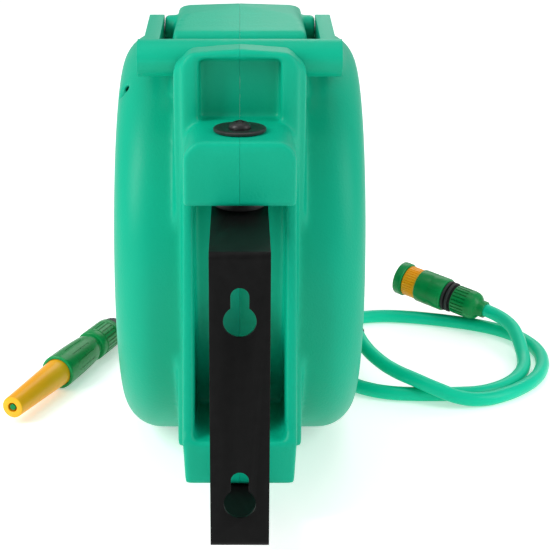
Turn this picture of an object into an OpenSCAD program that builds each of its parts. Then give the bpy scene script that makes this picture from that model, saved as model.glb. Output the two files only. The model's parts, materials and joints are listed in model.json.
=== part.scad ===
// Wall-mounted swivelling hose reel that winds itself in.
// The origin is on the wall face, at the middle of the bracket's plate. +Y leaves the wall, +Z is up.

/* [Wall bracket] */
// Width of the bent strap
strap_w = 42; // [36:1:50]
// Thickness of the strap
strap_t = 3; // [2.5:0.5:4]
// Height of the plate on the wall, over both legs
plate_h = 222; // [200:1:270]
// Distance from the wall to the swivel axis
pivot_reach = 116; // [105:1:140]
// Outside radius of the two bends
bend_r = 5; // [4:0.5:7]
// Diameter of a keyhole's round part
keyhole_d = 23; // [18:0.5:26]
// Width of a keyhole's slot
keyhole_slot_w = 12.8; // [8:0.2:15]
// Height from a keyhole's round centre to the end of its slot
keyhole_rise = 18; // [14:1:22]
// Height of the upper keyhole's round centre
upper_keyhole_z = 62; // [45:1:75]
// Height of the lower keyhole's round centre
lower_keyhole_z = -76; // [-80:1:-55]

/* [Swivel] */
// Diameter of the pivot screw and of the pivot pin
pivot_d = 12; // [8:0.5:15]
// Radial clearance of a pivot in its bush
pivot_clearance = 0.05; // [0.02:0.01:0.1]
// Wall of a swivel bush
bush_wall = 4; // [3:0.5:6]
// Diameter of the pivot washer and of the upper bush's flange
washer_d = 39; // [34:1:44]
// Thickness of the pivot washer
washer_t = 3; // [2:0.5:4]
// Diameter of the pivot screw's domed head
head_d = 16.5; // [14:0.5:20]
// Space from the upper leg to the boss above it
upper_leg_gap = 8; // [6:0.5:12]
// Space from the lower leg to the foot above it
lower_leg_gap = 2; // [1.5:0.5:4]
// Space between faces that slide past each other
slide_gap = 0.3; // [0.2:0.1:0.6]

/* [Case] */
// Diameter of the round part of the case
case_d = 348; // [300:1:400]
// Width of the round part of the case
case_w = 200; // [180:1:240]
// Rounding of the case's edges
case_edge_r = 32; // [20:1:40]
// Wall of the case
wall = 3; // [2.5:0.5:4]
// Height of the drum's axle above the middle of the bracket
axle_z = 29; // [20:1:40]
// Width of the column behind the bracket
column_w = 100; // [90:1:110]
// Width of the column's front rims, over both
rim_w = 88; // [84:1:92]
// Width of the channel that clears the bracket
channel_w = 70; // [60:1:76]
// Depth of the channel behind its rims
channel_depth = 20; // [14:1:24]
// Space between the bracket's leg ends and the case
leg_clearance = 7; // [5:0.5:12]
// Height of the upper boss
boss_h = 48; // [40:1:56]
// Width of the upper boss
boss_w = 82; // [76:1:88]
// Distance from the swivel axis to the boss's front
boss_reach = 33; // [28:1:38]
// Height of the foot's front
foot_h = 36; // [30:1:44]
// Distance from the swivel axis to the foot's front
foot_reach = 28; // [24:1:34]
// Width of the recess above the boss
recess_w = 61; // [50:1:70]
// Height of the recess above the boss
recess_h = 47; // [40:1:50]

/* [Carry handle] */
// Diameter of the bar
bar_d = 28.7; // [24:0.1:34]
// Length of the bar
bar_l = 156.5; // [150:0.5:170]
// Distance from the bar's axis to the handle's hinge
handle_reach = 100; // [92:1:110]
// Thickness of an arm
arm_t = 12; // [8:0.5:16]
// Height of an arm
arm_h = 22; // [18:1:26]
// Width between the arms
arm_gap = 125; // [116:1:130]
// Diameter of a handle hinge pin
handle_pin_d = 8; // [6:0.5:10]

/* [Hose] */
// Outside diameter of both hoses
hose_d = 13.5; // [11:0.5:16]

/* [Drum] */
// Diameter of the drum's core
core_d = 120; // [100:1:140]
// Diameter of the drum's flanges
flange_d = 292; // [260:1:300]
// Thickness of a flange
flange_t = 3; // [2:0.5:4]
// Width between the flanges
spool_w = 132; // [120:1:150]
// Number of layers of wound hose
hose_layers = 3; // [2:1:4]
// Diameter of the steel axle
axle_d = 16; // [12:0.5:20]
// Outside diameter of the hollow inlet axle
inlet_axle_d = 22; // [18:0.5:26]
// Radial clearance of the drum on its axles
drum_clearance = 0.05; // [0.02:0.01:0.1]
// Diameter over the ratchet's teeth
ratchet_d = 132; // [110:1:150]
// Number of ratchet teeth
ratchet_teeth = 24; // [16:1:36]
// Outside diameter of the spring housing
spring_case_d = 172; // [140:1:190]

/* [Hose mouth] */
// Diameter of a guide roller
roller_d = 11; // [8:0.5:14]
// Diameter of a roller's pin
roller_pin_d = 3.1; // [2.5:0.1:4]
// Radial clearance of a roller on its pin
roller_clearance = 0.05; // [0.02:0.01:0.1]
// Space between the hose and a roller
hose_gap = 1.25; // [0.5:0.25:3]

/* [Fittings] */
// Diameter of the tap connector's body
connector_d = 35; // [32:0.5:38]
// Diameter of the tap connector's ribbed nut
connector_nut_d = 30; // [27:0.5:33]
// Travel of the connector's release collar
collar_travel = 3.5; // [2:0.5:4]
// Diameter of the nozzle's tip
nozzle_tip_d = 20; // [17:0.5:23]
// Diameter of the nozzle's body
nozzle_d = 32.8; // [30:0.2:36]
// Diameter of the hole in the nozzle's tip
jet_d = 8.8; // [6:0.2:11]

/* [Hidden] */
$fn = 64;

// Colours
case_green = "#14b287";
hose_green = "#03c491";
fitting_green = "#038c3c";
fitting_yellow = "#fdb813";
strap_black = "#0d0d0e";
rubber_black = "#18181a";
steel = "#b8bcc0";
inner_grey = "#5b6166";

// Shared small values
cut = 1;                 // how far a cutter passes a face
far = 400;               // size of a cutter that takes away one side
press = 0;               // pieces pressed together share one face
loose_fit = 0.25;        // radial space round a clamped screw

// Bracket
half_plate = plate_h / 2;
leg_reach = pivot_reach + strap_w / 2;
pivot_r = pivot_d / 2;
bush_bore_r = pivot_r + pivot_clearance;
bush_r = bush_bore_r + bush_wall;
washer_r = washer_d / 2;
nut_across = 1.7;        // a nut's corners as a multiple of its bore
nut_h = 9;

// Case
case_r = case_d / 2;
half_case = case_w / 2;
axle_y = leg_reach + leg_clearance + case_r;
rim_y = leg_reach + leg_clearance + 1;
channel_back_y = rim_y + channel_depth;
boss_bottom_z = half_plate + upper_leg_gap;
boss_top_z = boss_bottom_z + boss_h;
boss_front_y = pivot_reach - boss_reach;
boss_corner_r = 15;
recess_back_y = rim_y + 15;
recess_top_z = boss_top_z + recess_h;
foot_bottom_z = -half_plate + strap_t + lower_leg_gap;
foot_top_z = foot_bottom_z + foot_h;
foot_front_y = pivot_reach - foot_reach;
foot_bore_depth = foot_h - 8;
column_bottom_z = foot_bottom_z + 2;
shoulder_step = 6;       // how far the column's shoulders stand behind its rims

// Handle
handle_y = axle_y - 28;
handle_z = axle_z + case_r + arm_h / 2 - 1;
bar_drop = 6;            // how far the bar's axis is below the hinge
bar_y = handle_y - sqrt(handle_reach * handle_reach - bar_drop * bar_drop);
bar_z = handle_z - bar_drop;
bar_clearance = 3;
arm_angle = atan2(bar_drop, handle_y - bar_y);
pin_r = handle_pin_d / 2;
pin_head_r = pin_r + 3;
pin_head_t = 3;
column_top_z = bar_z + bar_d / 2 + 1;
column_back_y = bar_y - bar_d / 2 - bar_clearance;
notch_bottom_z = bar_z - bar_d / 2 - bar_clearance;
notch_back_y = bar_y + bar_d / 2 + bar_clearance;
top_block_w = 106;
top_block_back_y = notch_back_y + 9;
top_block_edge_z = column_top_z;
top_block_edge = 8;
top_block_corner_r = 12;
top_block_crown = 4;
column_corner_r = 12;
column_crown = 3;
channel_skin = 0.6;       // how far the back of the channel stands off the round case
crown_z = column_top_z + 10;
crown_y = handle_y + 10;
crown_end_y = crown_y + 45;
crown_fall = 11;
crown_foot_y = crown_end_y + 47;

// Hose and drum
hose_r = hose_d / 2;
layer_rise = hose_d * sin(60);
core_r = core_d / 2;
pack_r = core_r + hose_d + (hose_layers - 1) * layer_rise;
wound_turns = floor(spool_w / hose_d);
half_spool = spool_w / 2;
flange_r = flange_d / 2;
axle_r = axle_d / 2;
inlet_r = inlet_axle_d / 2;
inlet_bore_r = inlet_r - 6;
flange_face = half_spool + flange_t;
core_wall = 3;
hub_plate_t = 6;
hub_wall = 8;
left_hub_end = -20;
right_hub_end = 24;
seal_r = 1.6;
ratchet_r = ratchet_d / 2;
ratchet_t = 4;
tooth_depth = 5;
elbow_x = flange_face + 13;       // plane of the hose between the flange and the case
elbow_r = inlet_r + 4;
elbow_half = 7.5;

// Spring on the left of the drum
inner_face = half_case - wall;
spring_case_r = spring_case_d / 2;
spring_case_wall = 2;
spring_cover_t = 1.5;
spring_cover_face = flange_face + 2;
spring_turns = 6;
spring_t = 0.8;
arbor_r = axle_r + 6;
arbor_end = flange_face + 18;

// Mouth of the case
run_gap = 0.8;                    // space between the wound hose and the hose that leaves it
mouth_z = axle_z - pack_r - run_gap - hose_r;
roller_r = roller_d / 2;
roller_off = hose_r + hose_gap + roller_r;
window = 2 * (roller_off + roller_r + 0.5);
roller_l = window - 1;
frame_margin = 16;
frame_w = window + 2 * frame_margin;
frame_depth = 26;
snout_face_y = axle_y + 168;
frame_face_y = snout_face_y + frame_depth;
first_row_y = snout_face_y + 6.5;
second_row_y = first_row_y + roller_d + 2;
snout_back_y = axle_y + 90;
snout_w = frame_w + 2;

// Screws that hold the two shells together, by their angle round the axle
screw_angles = [20, 70, 118, -72, -112];
screw_circle_r = (flange_r + case_r) / 2 - 1;
screw_r = 2;
screw_fit = 0.05;
screw_head_r = 4.2;
screw_head_t = 3;
screw_well_x = -60;
screw_tip_x = 26;
pillar_r = 5.5;

// Pod where the tap hose comes in
pod_x = [70, 120];
pod_y = [426, 474];
pod_z = [-112, -72];
lead_elbow_at = [94, 450, -89];
lead_elbow_r = 11;
relief_foot = [102, 437, -94];
relief_foot_r = 10.5;
relief_foot_l = 19;
relief_tip_r = 8;
hub_point = [elbow_x, axle_y, axle_z];
inner_hose_start = 26;

// The tap hose: from its strain relief round a loose loop and a half, to the connector
lead_route = [
    [114, 408, -105], [121, 388, -111], [132, 369, -116.5], [146, 352, -120.5], [163, 338, -123.5],
    [183, 328, -129], [205, 323, -135.5], [227, 326, -138.2], [247, 336, -138.2], [266, 352, -138.2],
    [282, 372, -138.2], [293, 395, -138.2], [299, 420, -138.2], [299.5, 445, -138.2], [294, 468, -138.2],
    [283, 489, -138.2], [267, 506, -138.2], [247, 519, -138.2], [224, 529, -138.2], [200, 537, -138.2],
    [175, 543, -138.2], [151, 545, -138.2], [128, 540, -138.2], [109, 529, -138.2], [96, 512, -138.2],
    [89, 491, -138.2], [86, 468, -138.2], [86, 445, -138.2], [88, 422, -138.2], [92, 400, -138.2],
    [97, 380, -138.2], [106, 363, -138.2], [120, 350, -138.2], [139, 341, -138.2], [161, 337.5, -138.2],
    [183, 337, -138.2], [205, 338, -138.2], [225, 341, -138.2], [243, 350.5, -138.2], [258, 365, -138.2],
    [269, 382, -138.2], [277, 402, -138.2], [281, 422, -137], [281.5, 441, -132.6], [280.5, 459, -127.6],
    [278.5, 473.5, -124.2], [273.5, 487, -121.8], [266, 499, -119.9], [256, 509, -118]
];
// The outlet hose: from the mouth through its stop, round to the nozzle beside the case
outlet_route = [
    [0, 512, -75.4], [0, 530, -75.4], [0, 549, -76], [-4, 567, -79], [-13, 585, -86], [-28, 599, -96],
    [-48, 607, -108], [-69, 606, -119], [-88, 596, -129], [-101, 580, -135], [-108, 560, -138],
    [-112, 540, -137], [-116, 520, -133], [-121.5, 502, -129.5], [-128, 485, -128.2]
];

connector_start = [256, 509, -118];
connector_end = [174, 573, -104];
nozzle_start = [-128, 485, -128.2];
nozzle_end = [-205, 284, -128.2];
stop_r = 16;

// Fitting lengths, measured from the hose end of the connector
nut_end = 36;
seals_end = 47;
body_end = 79;
collar_end = 95.5;
connector_l = norm(connector_end - connector_start);
collar_r = connector_d / 2 - 1.3;
collar_back = 73;
collar_core_r = 13;
adaptor_r = connector_d / 2 + 0.3;
spigot_r = 9;
tap_thread_r = 13.2;
tap_thread_l = 8;
turn_fit = 0.05;
rib_count = 24;

// Nozzle lengths, measured back from its tip
barrel_l = 98;
barrel_rear_r = 13.3;
nozzle_rim = 87;
nozzle_body_end = 150;
waist_end = 158;
nozzle_connector_end = 200;
nozzle_l = norm(nozzle_end - nozzle_start);
nozzle_spigot_r = 9;
nozzle_spigot_tip = 40;

// Points along an arc in a plane
function arc(centre, r, from, to, steps) =
    [for (i = [0:steps]) let (a = from + (to - from) * i / steps) centre + r * [cos(a), sin(a)]];

// Direction of a route at one of its points
function heading(route, i) =
    let (a = route[max(i - 1, 0)], b = route[min(i + 1, len(route) - 1)]) (b - a) / norm(b - a);

// One ring of a hose round a route's point
function ring(route, i, r, sides) =
    let (t = heading(route, i), s = cross(t, [0, 0, 1]), side = s / norm(s), up = cross(side, t))
    [for (k = [0:sides - 1]) route[i] + r * (cos(k * 360 / sides) * side + sin(k * 360 / sides) * up)];

// A hose swept along its route
module hose(route, r, sides = 12) {
    last = len(route) - 1;
    points = [for (i = [0:last]) each ring(route, i, r, sides)];
    walls = [
        for (i = [0:last - 1]) for (k = [0:sides - 1]) let (n = (k + 1) % sides)
            [i * sides + k, i * sides + n, (i + 1) * sides + n, (i + 1) * sides + k]
    ];
    start_cap = [for (k = [sides - 1:-1:0]) k];
    end_cap = [for (k = [0:sides - 1]) last * sides + k];
    polyhedron(points, concat(walls, [start_cap, end_cap]), convexity = 10);
}

// Places children, drawn up from the origin, along the line from one point to another
module along(from, to) {
    d = to - from;
    translate(from)
        rotate([0, acos(d.z / norm(d)), atan2(d.y, d.x)])
            children();
}

// Extrudes an outline in Y and Z by a width along X
module across(width) {
    rotate([90, 0, 90])
        linear_extrude(width, center = true, convexity = 10)
            children();
}

// Turns children drawn round Z so that they lie round the drum's axle
module on_axle() {
    translate([0, axle_y, axle_z])
        rotate([0, 90, 0])
            children();
}

// A cylinder round the axle between two places along X
module axle_cylinder(x1, x2, r) {
    on_axle()
        translate([0, 0, x1])
            cylinder(h = x2 - x1, r = r);
}

// A cylinder along X
module x_cylinder(x1, x2, y, z, r) {
    translate([x1, y, z])
        rotate([0, 90, 0])
            cylinder(h = x2 - x1, r = r);
}

// A box between two corners
module box(low, high) {
    translate(low)
        cube(high - low);
}

// ---- Bracket ----

module keyhole(z) {
    slot_r = keyhole_slot_w / 2;
    translate([0, -cut, z])
        rotate([-90, 0, 0])
            cylinder(h = strap_t + 2 * cut, d = keyhole_d);
    translate([0, -cut, z + keyhole_rise])
        rotate([-90, 0, 0])
            cylinder(h = strap_t + 2 * cut, r = slot_r);
    box([-slot_r, -cut, z], [slot_r, strap_t + cut, z + keyhole_rise]);
}

module wall_bracket() {
    inner_bend = bend_r - strap_t;
    outline = concat(
        [[pivot_reach, half_plate]],
        arc([bend_r, half_plate - bend_r], bend_r, 90, 180, 8),
        arc([bend_r, bend_r - half_plate], bend_r, 180, 270, 8),
        [[pivot_reach, -half_plate], [pivot_reach, strap_t - half_plate]],
        arc([bend_r, bend_r - half_plate], inner_bend, 270, 180, 6),
        arc([bend_r, half_plate - bend_r], inner_bend, 180, 90, 6),
        [[pivot_reach, half_plate - strap_t]]
    );
    color(strap_black)
        difference() {
            union() {
                across(strap_w)
                    polygon(outline);
                for (z = [-half_plate, half_plate - strap_t])
                    translate([0, pivot_reach, z])
                        cylinder(h = strap_t, d = strap_w);
            }
            keyhole(upper_keyhole_z);
            keyhole(lower_keyhole_z);
            translate([0, pivot_reach, -half_plate - cut])
                cylinder(h = plate_h + 2 * cut, r = pivot_r + loose_fit);
        }
}

washer_bottom_z = boss_top_z + slide_gap;
washer_top_z = washer_bottom_z + washer_t;
head_h = 5;
screw_end_z = half_plate - strap_t - nut_h - 3;

module upper_pivot_screw() {
    head_r = head_d / 2;
    dome_r = (head_r * head_r + head_h * head_h) / (2 * head_h);
    cross_l = 8;
    cross_t = 1.8;
    color(rubber_black)
        translate([0, pivot_reach, 0])
            difference() {
                union() {
                    translate([0, 0, screw_end_z])
                        cylinder(h = washer_top_z - screw_end_z, r = pivot_r);
                    intersection() {
                        translate([0, 0, washer_top_z + head_h - dome_r])
                            sphere(r = dome_r);
                        translate([0, 0, washer_top_z])
                            cylinder(h = head_h + cut, r = head_r);
                    }
                }
                for (turn = [45, 135])
                    translate([0, 0, washer_top_z + head_h])
                        rotate([0, 0, turn])
                            cube([cross_l, cross_t, head_h], center = true);
            }
}

module pivot_washer() {
    color(rubber_black)
        translate([0, pivot_reach, washer_bottom_z])
            difference() {
                cylinder(h = washer_t, r = washer_r);
                translate([0, 0, -cut])
                    cylinder(h = washer_t + 2 * cut, r = pivot_r + loose_fit);
            }
}

module upper_pivot_nut() {
    color(steel)
        translate([0, pivot_reach, half_plate - strap_t - nut_h])
            difference() {
                cylinder(h = nut_h, r = pivot_r * nut_across, $fn = 6);
                translate([0, 0, -cut])
                    cylinder(h = nut_h + 2 * cut, r = pivot_r + press);
            }
}

module lower_pivot_pin() {
    pin_head_h = 5;
    pin_top_z = foot_bottom_z + foot_bore_depth - 1;
    color(steel)
        translate([0, pivot_reach, 0]) {
            translate([0, 0, -half_plate - pin_head_h])
                cylinder(h = pin_head_h, r = pivot_r + 4);
            translate([0, 0, -half_plate])
                cylinder(h = pin_top_z + half_plate, r = pivot_r);
        }
}

module swivel_bush(bottom, top, flange_bottom, flange_r) {
    color(rubber_black)
        translate([0, pivot_reach, 0])
            difference() {
                union() {
                    translate([0, 0, bottom])
                        cylinder(h = top - bottom, r = bush_r);
                    translate([0, 0, flange_bottom])
                        cylinder(h = bottom - flange_bottom, r = flange_r);
                }
                translate([0, 0, flange_bottom - cut])
                    cylinder(h = top - flange_bottom + 2 * cut, r = bush_bore_r);
            }
}

module upper_swivel_bush() {
    swivel_bush(boss_bottom_z, boss_top_z, half_plate + slide_gap, washer_r - 1);
}

module lower_swivel_bush() {
    swivel_bush(
        foot_bottom_z, foot_bottom_z + foot_bore_depth, strap_t - half_plate + slide_gap, bush_r + 5
    );
}

// ---- Case ----

module case_disc(inset) {
    r = case_r - inset;
    half = half_case - inset;
    edge = case_edge_r - inset;
    outline = concat(
        [[0, -half]],
        arc([r - edge, edge - half], edge, -90, 0, 10),
        arc([r - edge, half - edge], edge, 0, 90, 10),
        [[0, half]]
    );
    on_axle()
        rotate_extrude($fn = 120)
            polygon(outline);
}

// A bar along Y as seen from the wall: square below, with rounded upper corners and a raised middle
module arched(width, top, corner, crown) {
    half = width / 2;
    corner_z = top - crown - corner;
    outline = concat(
        [[-half, -far / 2], [half, -far / 2]],
        arc([half - corner, corner_z], corner, 0, 80, 6),
        [[0, top]],
        arc([corner - half, corner_z], corner, 100, 180, 6)
    );
    translate([0, far, 0])
        rotate([90, 0, 0])
            linear_extrude(2 * far)
                polygon(outline);
}

module column(width, step) {
    front = rim_y + step;
    top = column_top_z - step;
    intersection() {
        across(width + 2)
            polygon([
                [front, top + cut], [column_back_y, top + cut],
                [column_back_y, notch_bottom_z], [notch_back_y, notch_bottom_z],
                [axle_y, axle_z], [axle_y - case_r * 0.6, column_bottom_z],
                [front, column_bottom_z]
            ]);
        arched(width, top, column_corner_r, column_crown);
    }
}

module foot() {
    taper = 2;
    outline = [
        [-rim_w / 2, foot_top_z], [-rim_w / 2 + taper, foot_bottom_z],
        [rim_w / 2 - taper, foot_bottom_z], [rim_w / 2, foot_top_z]
    ];
    translate([0, channel_back_y + cut, 0])
        rotate([90, 0, 0])
            linear_extrude(channel_back_y + cut - foot_front_y)
                polygon(outline);
    across(rim_w)
        polygon([
            [foot_front_y, foot_top_z], [foot_front_y + 6, foot_top_z + 8],
            [rim_y, boss_bottom_z], [channel_back_y, boss_bottom_z], [channel_back_y, foot_top_z]
        ]);
}

module boss() {
    half = boss_w / 2;
    centre_z = boss_top_z - boss_corner_r;
    outline = concat(
        [[-half, boss_bottom_z], [half, boss_bottom_z]],
        arc([half - boss_corner_r, centre_z], boss_corner_r, 0, 90, 10),
        arc([boss_corner_r - half, centre_z], boss_corner_r, 90, 180, 10)
    );
    translate([0, recess_back_y + cut, 0])
        rotate([90, 0, 0])
            linear_extrude(recess_back_y + cut - boss_front_y)
                polygon(outline);
}

function top_block_outline(inset) = concat(
    [[axle_y - 60, axle_z + case_r * 0.6], [top_block_back_y + inset, axle_z + case_r * 0.75]],
    arc(
        [top_block_back_y + top_block_edge, top_block_edge_z - top_block_edge],
        top_block_edge - inset, 180, 100, 6
    ),
    [
        [crown_y, crown_z - inset], [crown_end_y - inset / 2, crown_z - crown_fall - inset],
        [crown_foot_y - inset, axle_z + case_r * 0.9], [axle_y, axle_z + case_r * 0.6]
    ]
);

module top_block(inset) {
    intersection() {
        across(top_block_w + 2)
            polygon(top_block_outline(inset));
        arched(top_block_w - 2 * inset, crown_z - inset, top_block_corner_r, top_block_crown);
    }
}

module snout(inset) {
    half = snout_w / 2 - inset;
    box([-half, snout_back_y, mouth_z - half], [half, snout_face_y, mouth_z + half]);
}

module pod(inset) {
    box(
        [pod_x[0], pod_y[0] + inset, pod_z[0] + inset],
        [pod_x[1] - inset, pod_y[1] - inset, pod_z[1] - inset]
    );
}

module case_outside() {
    case_disc(0);
    column(rim_w, 0);
    column(column_w, shoulder_step);
    foot();
    boss();
    top_block(0);
    x_cylinder(-arm_gap / 2 + slide_gap, arm_gap / 2 - slide_gap, handle_y, handle_z, arm_h / 2);
    snout(0);
}

module case_inside() {
    case_disc(wall);
    top_block(wall);
    across(column_w - 2 * wall)
        polygon([
            [recess_back_y + wall, boss_bottom_z + wall], [recess_back_y + wall, notch_bottom_z - wall],
            [notch_back_y + wall, notch_bottom_z - wall], [axle_y - 60, axle_z + case_r * 0.6],
            [axle_y - case_r * 0.6, axle_z + case_r * 0.5]
        ]);
    snout(wall);
}

module case_cuts() {
    // Channel round the bracket, as deep as the round of the case
    difference() {
        box([-channel_w / 2, 0, foot_top_z], [channel_w / 2, channel_back_y, boss_bottom_z]);
        axle_cylinder(-channel_w, channel_w, case_r + channel_skin);
    }
    // Recess above the boss
    box([-recess_w / 2, 0, boss_top_z], [recess_w / 2, recess_back_y, recess_top_z]);
    // Bores for the two swivel bushes
    translate([0, pivot_reach, boss_bottom_z - cut])
        cylinder(h = boss_h + 2 * cut, r = bush_r + press);
    translate([0, pivot_reach, foot_bottom_z - cut])
        cylinder(h = foot_bore_depth + cut, r = bush_r + press);
    // Bores for the handle's pins
    x_cylinder(-far, far, handle_y, handle_z, pin_r + press);
    // Way out for the hose
    box(
        [-window / 2, snout_face_y - 2 * wall, mouth_z - window / 2],
        [window / 2, snout_face_y + cut, mouth_z + window / 2]
    );
}

module at_screws() {
    for (a = screw_angles)
        translate([0, axle_y + screw_circle_r * cos(a), axle_z + screw_circle_r * sin(a)])
            rotate([0, 90, 0])
                children();
}

module half_space(side) {
    translate([side > 0 ? 0 : -far, -far / 4, -far])
        cube([far, 2 * far, 2 * far]);
}

module left_shell() {
    hub_end = arbor_end + slide_gap + 1;
    color(case_green)
        difference() {
            union() {
                difference() {
                    intersection() {
                        case_outside();
                        half_space(-1);
                    }
                    case_inside();
                }
                intersection() {
                    at_screws()
                        translate([0, 0, -half_case])
                            cylinder(h = half_case, r = pillar_r);
                    case_disc(wall / 2);
                }
                axle_cylinder(-inner_face - cut, -hub_end, arbor_r - 1);
            }
            case_cuts();
            axle_cylinder(-inner_face - cut, -arbor_end, axle_r + press);
            at_screws() {
                translate([0, 0, -half_case - cut])
                    cylinder(h = half_case + 2 * cut, r = screw_r + loose_fit);
                translate([0, 0, -half_case - cut])
                    cylinder(h = half_case + cut + screw_well_x, r = screw_head_r + loose_fit);
            }
        }
}

module right_shell() {
    seat_x = inlet_axle_end - 4;
    color(case_green)
        difference() {
            union() {
                difference() {
                    intersection() {
                        union() {
                            case_outside();
                            pod(0);
                        }
                        half_space(1);
                    }
                    case_inside();
                }
                intersection() {
                    at_screws()
                        cylinder(h = half_case, r = pillar_r);
                    case_disc(wall / 2);
                }
                axle_cylinder(seat_x, inner_face + cut, inlet_r + 4);
                x_cylinder(pawl_x[1] + slide_gap, inner_face + cut, pawl_pivot_y, pawl_pivot_z, pawl_boss_r);
            }
            case_cuts();
            pod(wall);
            axle_cylinder(seat_x - cut, inlet_axle_end, inlet_r + press);
            x_cylinder(pawl_x[0], inner_face, pawl_pivot_y, pawl_pivot_z, pawl_pin_r + press);
            at_screws()
                translate([0, 0, -cut])
                    cylinder(h = screw_tip_x + 2 * cut, r = screw_r + screw_fit);
            along(hub_point, lead_elbow_at)
                translate([0, 0, inner_hose_start])
                    cylinder(h = norm(lead_elbow_at - hub_point) - inner_hose_start, r = hose_r + slide_gap);
            along(relief_foot, lead_route[0])
                translate([0, 0, -relief_foot_r])
                    cylinder(h = relief_foot_r + relief_foot_l, r = relief_foot_r + press);
        }
}

module shell_screws() {
    color(steel)
        at_screws() {
            translate([0, 0, screw_well_x - screw_head_t])
                cylinder(h = screw_head_t, r = screw_head_r);
            translate([0, 0, screw_well_x])
                cylinder(h = screw_tip_x - screw_well_x, r = screw_r);
        }
}

// ---- Carry handle ----

arm_x = arm_gap / 2;

module handle_pivot_pins() {
    inner_x = top_block_w / 2 - 12;
    color(steel)
        for (side = [-1, 1])
            translate([0, handle_y, handle_z])
                rotate([0, side * 90, 0]) {
                    translate([0, 0, inner_x])
                        cylinder(h = arm_x + arm_t - pin_head_t - inner_x, r = pin_r);
                    translate([0, 0, arm_x + arm_t - pin_head_t + slide_gap])
                        cylinder(h = pin_head_t - slide_gap, r = pin_head_r);
                    translate([0, 0, arm_x + arm_t - pin_head_t - cut])
                        cylinder(h = slide_gap + 2 * cut, r = pin_r);
                }
}

module arm_outline() {
    rotate(arm_angle) {
        circle(arm_h / 2);
        translate([-handle_reach, -arm_h / 2])
            square([handle_reach, arm_h]);
    }
}

module carry_handle() {
    arm_fit = 0.05;
    color(case_green)
        difference() {
            union() {
                x_cylinder(-bar_l / 2, bar_l / 2, bar_y, bar_z, bar_d / 2);
                for (x = [-arm_x - arm_t, arm_x])
                    translate([x, handle_y, handle_z])
                        rotate([90, 0, 90])
                            linear_extrude(arm_t)
                                arm_outline();
            }
            x_cylinder(-far, far, handle_y, handle_z, pin_r + arm_fit);
            for (side = [-1, 1])
                translate([0, handle_y, handle_z])
                    rotate([0, side * 90, 0])
                        translate([0, 0, arm_x + arm_t - pin_head_t])
                            cylinder(h = far, r = pin_head_r + 2 * slide_gap);
        }
}

// ---- Axles and the way in for the water ----

inlet_axle_end = inner_face - 1;

module axle() {
    color(steel)
        axle_cylinder(-inner_face, left_hub_end + 4, axle_r);
}

module at_seals() {
    for (x = [right_hub_end + 10, right_hub_end + 24])
        on_axle()
            translate([0, 0, x])
                rotate_extrude()
                    translate([inlet_r - seal_r, 0])
                        children();
}

module inlet_axle() {
    port_r = 3.5;
    color(inner_grey)
        difference() {
            axle_cylinder(right_hub_end - 4, inlet_axle_end, inlet_r);
            axle_cylinder(right_hub_end + 2, elbow_x + 4, inlet_bore_r);
            at_seals()
                square(2 * seal_r + 0.2, center = true);
            translate([elbow_x, axle_y, axle_z])
                along([0, 0, 0], lead_elbow_at - hub_point)
                    cylinder(h = far, r = port_r);
            translate([right_hub_end + 6, axle_y, axle_z])
                cylinder(h = far, r = port_r, center = true);
        }
}

module union_seals() {
    color(rubber_black)
        at_seals()
            circle(r = seal_r);
}

module inlet_elbow() {
    color(inner_grey)
        difference() {
            union() {
                axle_cylinder(elbow_x - elbow_half, elbow_x + elbow_half, elbow_r);
                along(hub_point, lead_elbow_at)
                    cylinder(h = inner_hose_start, r = hose_r + 0.5);
            }
            axle_cylinder(elbow_x - elbow_half - cut, elbow_x + elbow_half + cut, inlet_r + press);
            along(hub_point, lead_elbow_at)
                cylinder(h = inner_hose_start + cut, r = hose_r - 3);
        }
}

module inner_lead_hose() {
    run = norm(lead_elbow_at - hub_point);
    color(hose_green)
        difference() {
            along(hub_point, lead_elbow_at)
                translate([0, 0, inner_hose_start])
                    cylinder(h = run - inner_hose_start, r = hose_r);
            translate(lead_elbow_at)
                sphere(r = lead_elbow_r);
        }
}

module lead_elbow() {
    color(inner_grey)
        difference() {
            translate(lead_elbow_at)
                sphere(r = lead_elbow_r);
            along(relief_foot, lead_route[0])
                translate([0, 0, -1])
                    cylinder(h = far, r = 2 * lead_elbow_r);
        }
}

module lead_relief() {
    reach = norm(lead_route[0] - relief_foot);
    color(rubber_black)
        along(relief_foot, lead_route[0]) {
            cylinder(h = relief_foot_l, r = relief_foot_r);
            translate([0, 0, relief_foot_l])
                cylinder(h = reach - relief_foot_l, r1 = relief_foot_r - 1, r2 = relief_tip_r);
        }
}

// ---- Drum ----

module drum_core() {
    color(inner_grey)
        difference() {
            union() {
                difference() {
                    axle_cylinder(-half_spool, half_spool, core_r);
                    axle_cylinder(hub_plate_t - half_spool, half_spool - hub_plate_t, core_r - core_wall);
                }
                axle_cylinder(-half_spool, left_hub_end, axle_r + hub_wall);
                axle_cylinder(right_hub_end, half_spool, inlet_r + hub_wall);
            }
            axle_cylinder(-half_spool - cut, left_hub_end + cut, axle_r + drum_clearance);
            axle_cylinder(right_hub_end - cut, half_spool + cut, inlet_r + drum_clearance);
            feed_hole(cut);
        }
}

module feed_hole(extra) {
    feed_r = 5;
    translate([right_hub_end + 6, axle_y, axle_z + inlet_r + drum_clearance - extra])
        cylinder(h = core_r - inlet_r + 2 * extra, r = feed_r);
}

module feed_spigot() {
    feed_bore_r = 3.5;
    color(inner_grey)
        difference() {
            intersection() {
                feed_hole(0);
                axle_cylinder(0, half_spool, core_r - slide_gap);
            }
            translate([right_hub_end + 6, axle_y, axle_z])
                cylinder(h = far, r = feed_bore_r);
            axle_cylinder(0, half_spool, inlet_r + 1);
        }
}

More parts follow.
